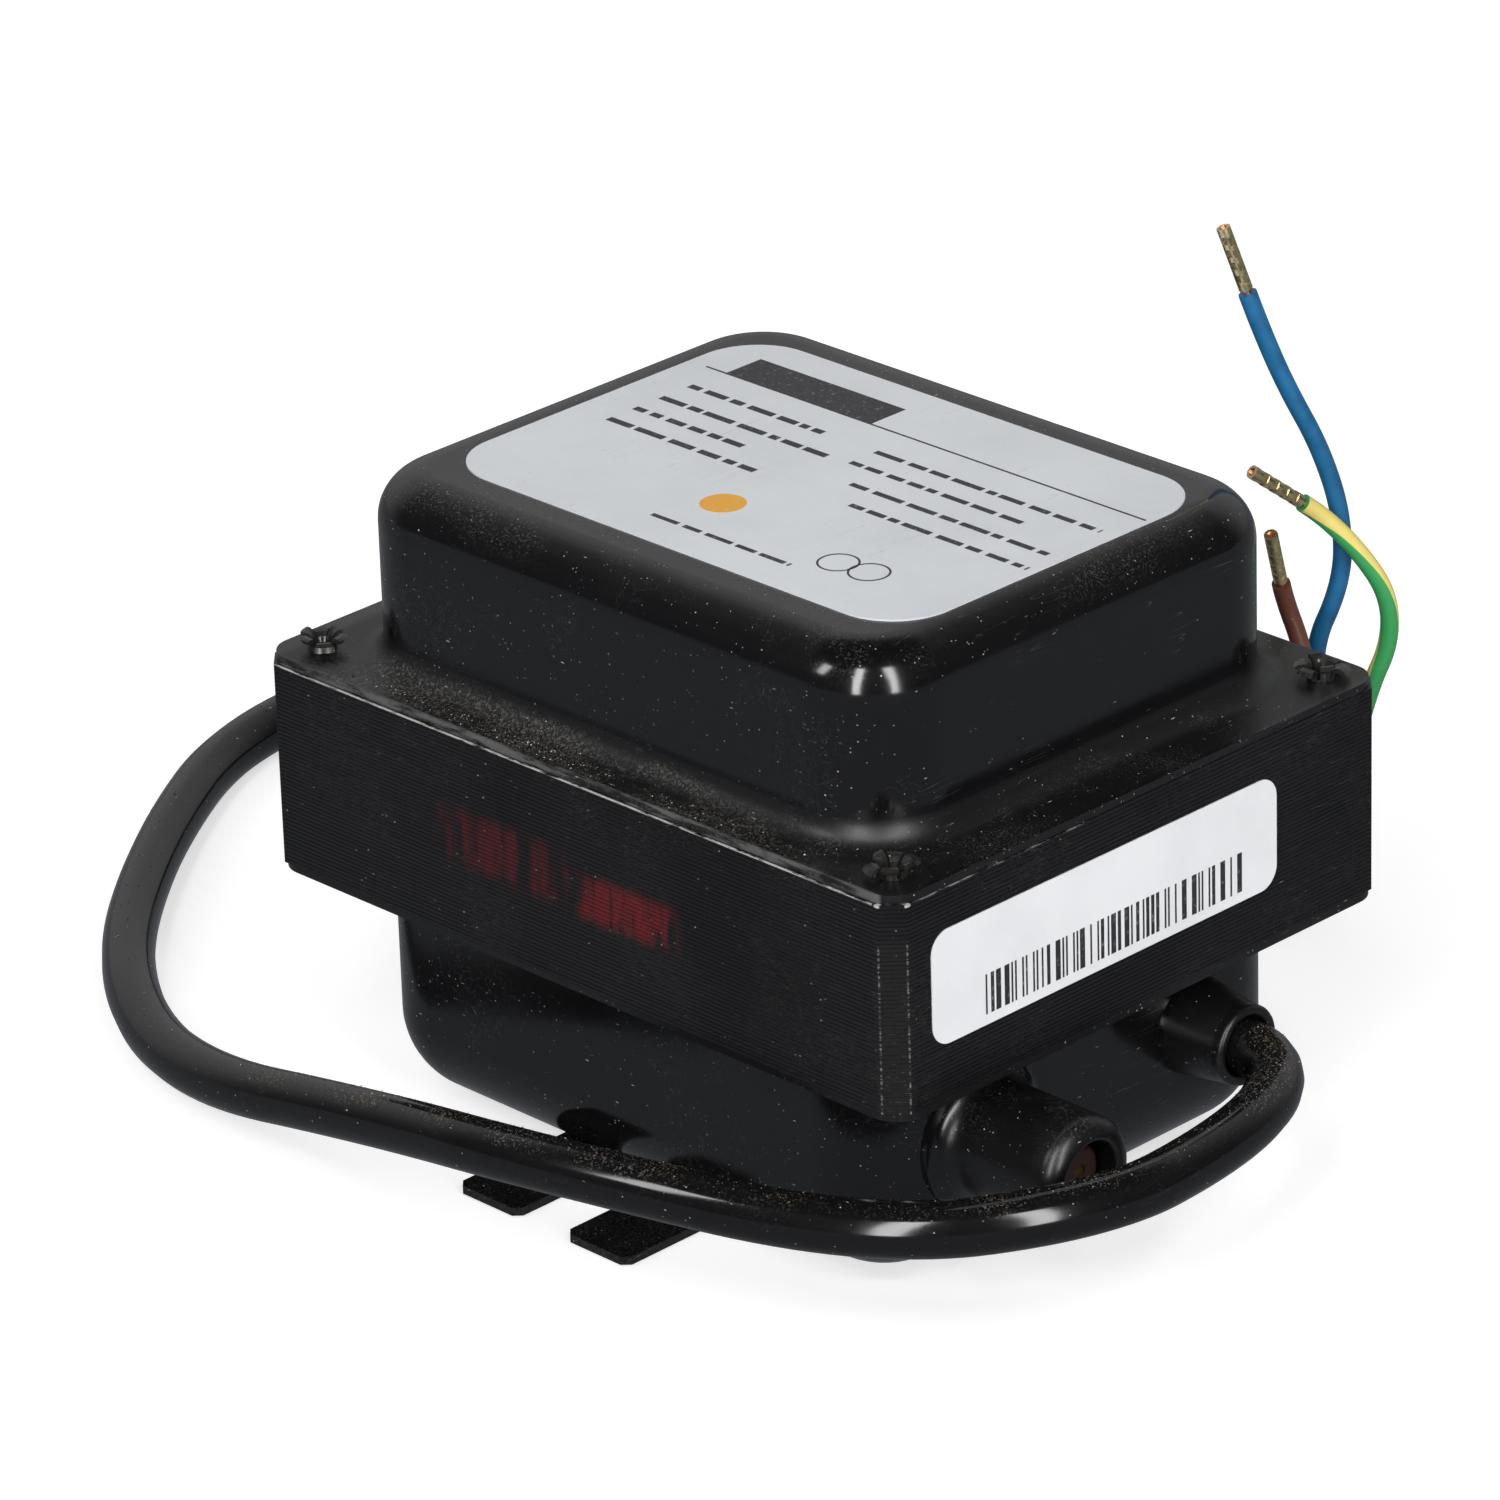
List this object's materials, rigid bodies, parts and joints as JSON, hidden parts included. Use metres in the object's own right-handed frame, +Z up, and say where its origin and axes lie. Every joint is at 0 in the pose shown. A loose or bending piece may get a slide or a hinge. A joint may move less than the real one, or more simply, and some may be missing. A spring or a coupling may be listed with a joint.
{
  "type": "ignition transformer",
  "caption": "Oil-burner ignition transformer: laminated core between two black drawn covers, high-voltage neck, cable neck and a black mains lead with three ferruled wires",
  "frame": {"origin": "centre of the body's box in plan, on the plane the mounting strips stand on", "axes": "+X out of the two necks, +Y across the core towards the cable neck's side, +Z up through the top label"},
  "size_m": [0.1939, 0.1474, 0.0987],
  "materials": {
    "black_paint": "gloss",
    "core_lacquer": "satin",
    "rivet_black": "satin",
    "label_foil": "matte",
    "label_paper": "matte",
    "lead_sheath": "satin",
    "blue_pvc": "satin",
    "brown_pvc": "satin",
    "green_yellow_pvc": "satin",
    "ferrule_brass": "satin",
    "copper": "satin",
    "sleeve_brown": "satin",
    "contact_brass": "satin",
    "bush_black": "matte",
    "plain_steel": "satin",
    "lamination_steel": "satin",
    "bobbin_plastic": "satin",
    "winding_copper": "satin",
    "wrap_cloth": "matte",
    "pressboard": "matte",
    "potting_resin": "satin"
  },
  "bodies": {
    "root": {"core_frame": "core_lacquer", "core_centre_leg": "lamination_steel", "magnetic_shunts": "lamination_steel", "shunt_gap_papers": "pressboard", "primary_bobbin": "bobbin_plastic", "primary_winding": "winding_copper", "primary_wrap": "wrap_cloth", "secondary_bobbin": "bobbin_plastic", "secondary_winding": "winding_copper", "secondary_wrap": "wrap_cloth", "upper_cover": "black_paint", "lower_cover": "black_paint", "lower_potting": "potting_resin", "corner_rivets": "rivet_black", "mounting_strips": "black_paint", "hv_neck": "black_paint", "hv_insulator_sleeve": "sleeve_brown", "hv_contact_pin": "contact_brass", "hv_tail": "copper", "cable_neck": "black_paint", "cable_bush": "bush_black", "cable_grip_ring": "plain_steel", "inner_neutral_lead": "blue_pvc", "inner_live_lead": "brown_pvc", "inner_earth_lead": "green_yellow_pvc", "earth_lug": "plain_steel", "rating_label": "label_foil", "side_label": "label_paper", "mains_cable": "lead_sheath", "blue_wire": "blue_pvc", "brown_wire": "brown_pvc", "earth_wire": "green_yellow_pvc", "blue_ferrule": "ferrule_brass", "brown_ferrule": "ferrule_brass", "earth_ferrule": "ferrule_brass", "wire_strands": "copper"}
  },
  "joints": []
}
